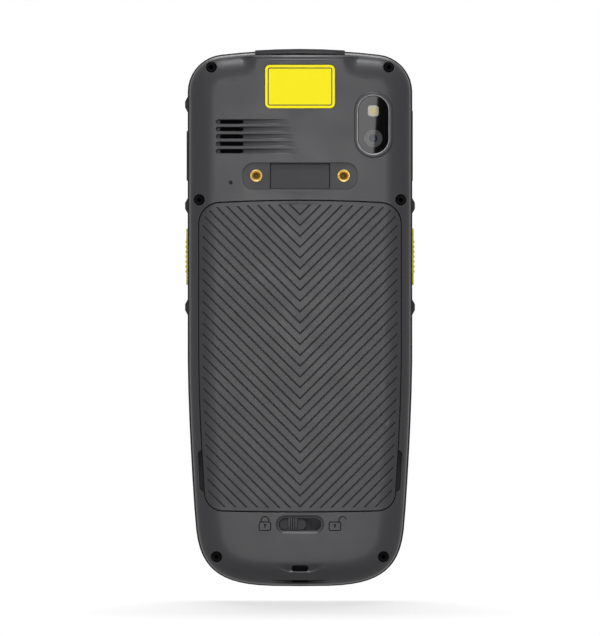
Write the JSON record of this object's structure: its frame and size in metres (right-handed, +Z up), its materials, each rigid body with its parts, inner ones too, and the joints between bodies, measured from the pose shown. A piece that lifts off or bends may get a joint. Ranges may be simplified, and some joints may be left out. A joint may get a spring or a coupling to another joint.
{
  "type": "portable barcode data terminal",
  "caption": "Handheld barcode terminal with a latched battery cover, side scan keys, rear camera, display and front keypad, shown from the back.",
  "frame": {"origin": "under the middle of the body, on the plane that its bottom end touches", "axes": "+Z up the length of the body, +X to the right as seen from the back, -Y out of the back with the battery cover, +Y out of the display side"},
  "size_m": [0.0768, 0.018, 0.179],
  "materials": {
    "housing_plastic": "fine moulded grain, matt",
    "cover_plastic": "fine moulded grain, matt",
    "latch_plastic": "moulded, satin",
    "yellow_rubber": "moulded, satin",
    "dark_rubber": "matt",
    "seal_rubber": "matt",
    "black_screw_steel": "blackened",
    "spring_steel": "rolled strip",
    "battery_film": "shrunk film",
    "contact_block": "moulded block with gilt blades",
    "window_tint": "deep red tint, polished",
    "black_moulding": "moulded",
    "black_glass": "polished, printed black behind",
    "trim_metal": "turned and anodised",
    "lens_barrel": "satin ring",
    "flash_plastic": "clear with phosphor behind",
    "fine_mesh": "woven, coated",
    "motor_steel": "drawn cup",
    "copper_foil": "etched foil",
    "brass_insert": "turned",
    "yellow_film": "printed film",
    "socket_steel": "drawn shell",
    "display_panel": "polarising film",
    "board_laminate": "solder mask",
    "key_silicone": "moulded silicone"
  },
  "bodies": {
    "housing": {"rear_housing": "housing_plastic", "front_housing": "housing_plastic", "housing_gasket": "seal_rubber", "housing_screws": "black_screw_steel", "cover_gasket": "seal_rubber", "battery_pack": "battery_film", "battery_contacts": "contact_block", "latch_spring": "spring_steel", "scan_window": "window_tint", "scan_engine": "black_moulding", "camera_window": "black_glass", "camera_trim": "trim_metal", "camera_module": "lens_barrel", "flash_lens": "flash_plastic", "speaker": "black_moulding", "speaker_mesh": "fine_mesh", "microphone": "black_moulding", "vibration_motor": "motor_steel", "antenna": "copper_foil", "strap_inserts": "brass_insert", "label_plate": "yellow_film", "usb_socket": "socket_steel", "side_switches": "black_moulding", "display_glass": "black_glass", "display_module": "display_panel", "main_board": "board_laminate", "shield_cans": "socket_steel", "keypad_board": "board_laminate", "keypad_mat": "seal_rubber", "earpiece": "black_moulding", "earpiece_mesh": "fine_mesh", "status_light": "flash_plastic"},
    "battery_cover": {"battery_cover": "cover_plastic"},
    "cover_latch": {"latch_slider": "latch_plastic"},
    "left_scan_key": {"scan_key_left": "yellow_rubber"},
    "right_scan_key": {"scan_key_right": "yellow_rubber"},
    "volume_rocker": {"volume_key": "dark_rubber"},
    "connector_flap": {"port_flap": "dark_rubber"},
    "key_star_cap": {"key_star": "key_silicone"},
    "key_zero_cap": {"key_zero": "key_silicone"},
    "key_hash_cap": {"key_hash": "key_silicone"},
    "key_enter_cap": {"key_enter": "key_silicone"},
    "key_seven_cap": {"key_seven": "key_silicone"},
    "key_eight_cap": {"key_eight": "key_silicone"},
    "key_nine_cap": {"key_nine": "key_silicone"},
    "key_down_cap": {"key_down": "key_silicone"},
    "key_four_cap": {"key_four": "key_silicone"},
    "key_five_cap": {"key_five": "key_silicone"},
    "key_six_cap": {"key_six": "key_silicone"},
    "key_up_cap": {"key_up": "key_silicone"},
    "key_one_cap": {"key_one": "key_silicone"},
    "key_two_cap": {"key_two": "key_silicone"},
    "key_three_cap": {"key_three": "key_silicone"},
    "key_clear_cap": {"key_clear": "key_silicone"},
    "key_scan_cap": {"key_scan": "yellow_rubber"},
    "key_back_cap": {"key_back": "key_silicone"},
    "key_menu_cap": {"key_menu": "key_silicone"}
  },
  "joints": [
    {"name": "battery_cover_swing", "type": "hinge", "parent": "housing", "child": "battery_cover", "pos_m": [0, -0.009, 0.1284], "axis": [-1, 0, 0], "range_deg": [0, 60]},
    {"name": "connector_flap_swing", "type": "hinge", "parent": "housing", "child": "connector_flap", "pos_m": [0.0377, 0.0034, 0.1353], "axis": [0, 1, 0], "range_deg": [0, 100]},
    {"name": "cover_latch_slide", "type": "slide", "parent": "housing", "child": "cover_latch", "axis": [1, 0, 0], "range_m": [0, 0.0049]},
    {"name": "edge_scan_left_press", "type": "slide", "parent": "housing", "child": "left_scan_key", "axis": [1, 0, 0], "range_m": [0, 0.0006], "stiffness_N_per_m": 300, "springref_m": -0.0005},
    {"name": "edge_scan_right_press", "type": "slide", "parent": "housing", "child": "right_scan_key", "axis": [-1, 0, 0], "range_m": [0, 0.0006], "stiffness_N_per_m": 300, "springref_m": -0.0005},
    {"name": "edge_volume_rock", "type": "hinge", "parent": "housing", "child": "volume_rocker", "pos_m": [-0.0346, 0.0034, 0.1438], "axis": [0, 1, 0], "range_deg": [-2, 2], "stiffness_Nm_per_rad": 0.02},
    {"name": "front_key_star_press", "type": "slide", "parent": "housing", "child": "key_star_cap", "axis": [0, -1, 0], "range_m": [0, 0.0005], "stiffness_N_per_m": 300, "springref_m": -0.0005},
    {"name": "front_key_zero_press", "type": "slide", "parent": "housing", "child": "key_zero_cap", "axis": [0, -1, 0], "range_m": [0, 0.0005], "stiffness_N_per_m": 300, "springref_m": -0.0005},
    {"name": "front_key_hash_press", "type": "slide", "parent": "housing", "child": "key_hash_cap", "axis": [0, -1, 0], "range_m": [0, 0.0005], "stiffness_N_per_m": 300, "springref_m": -0.0005},
    {"name": "front_key_enter_press", "type": "slide", "parent": "housing", "child": "key_enter_cap", "axis": [0, -1, 0], "range_m": [0, 0.0005], "stiffness_N_per_m": 300, "springref_m": -0.0005},
    {"name": "front_key_seven_press", "type": "slide", "parent": "housing", "child": "key_seven_cap", "axis": [0, -1, 0], "range_m": [0, 0.0005], "stiffness_N_per_m": 300, "springref_m": -0.0005},
    {"name": "front_key_eight_press", "type": "slide", "parent": "housing", "child": "key_eight_cap", "axis": [0, -1, 0], "range_m": [0, 0.0005], "stiffness_N_per_m": 300, "springref_m": -0.0005},
    {"name": "front_key_nine_press", "type": "slide", "parent": "housing", "child": "key_nine_cap", "axis": [0, -1, 0], "range_m": [0, 0.0005], "stiffness_N_per_m": 300, "springref_m": -0.0005},
    {"name": "front_key_down_press", "type": "slide", "parent": "housing", "child": "key_down_cap", "axis": [0, -1, 0], "range_m": [0, 0.0005], "stiffness_N_per_m": 300, "springref_m": -0.0005},
    {"name": "front_key_four_press", "type": "slide", "parent": "housing", "child": "key_four_cap", "axis": [0, -1, 0], "range_m": [0, 0.0005], "stiffness_N_per_m": 300, "springref_m": -0.0005},
    {"name": "front_key_five_press", "type": "slide", "parent": "housing", "child": "key_five_cap", "axis": [0, -1, 0], "range_m": [0, 0.0005], "stiffness_N_per_m": 300, "springref_m": -0.0005},
    {"name": "front_key_six_press", "type": "slide", "parent": "housing", "child": "key_six_cap", "axis": [0, -1, 0], "range_m": [0, 0.0005], "stiffness_N_per_m": 300, "springref_m": -0.0005},
    {"name": "front_key_up_press", "type": "slide", "parent": "housing", "child": "key_up_cap", "axis": [0, -1, 0], "range_m": [0, 0.0005], "stiffness_N_per_m": 300, "springref_m": -0.0005},
    {"name": "front_key_one_press", "type": "slide", "parent": "housing", "child": "key_one_cap", "axis": [0, -1, 0], "range_m": [0, 0.0005], "stiffness_N_per_m": 300, "springref_m": -0.0005},
    {"name": "front_key_two_press", "type": "slide", "parent": "housing", "child": "key_two_cap", "axis": [0, -1, 0], "range_m": [0, 0.0005], "stiffness_N_per_m": 300, "springref_m": -0.0005},
    {"name": "front_key_three_press", "type": "slide", "parent": "housing", "child": "key_three_cap", "axis": [0, -1, 0], "range_m": [0, 0.0005], "stiffness_N_per_m": 300, "springref_m": -0.0005},
    {"name": "front_key_clear_press", "type": "slide", "parent": "housing", "child": "key_clear_cap", "axis": [0, -1, 0], "range_m": [0, 0.0005], "stiffness_N_per_m": 300, "springref_m": -0.0005},
    {"name": "front_key_scan_press", "type": "slide", "parent": "housing", "child": "key_scan_cap", "axis": [0, -1, 0], "range_m": [0, 0.0005], "stiffness_N_per_m": 300, "springref_m": -0.0005},
    {"name": "front_key_back_press", "type": "slide", "parent": "housing", "child": "key_back_cap", "axis": [0, -1, 0], "range_m": [0, 0.0005], "stiffness_N_per_m": 300, "springref_m": -0.0005},
    {"name": "front_key_menu_press", "type": "slide", "parent": "housing", "child": "key_menu_cap", "axis": [0, -1, 0], "range_m": [0, 0.0005], "stiffness_N_per_m": 300, "springref_m": -0.0005}
  ]
}
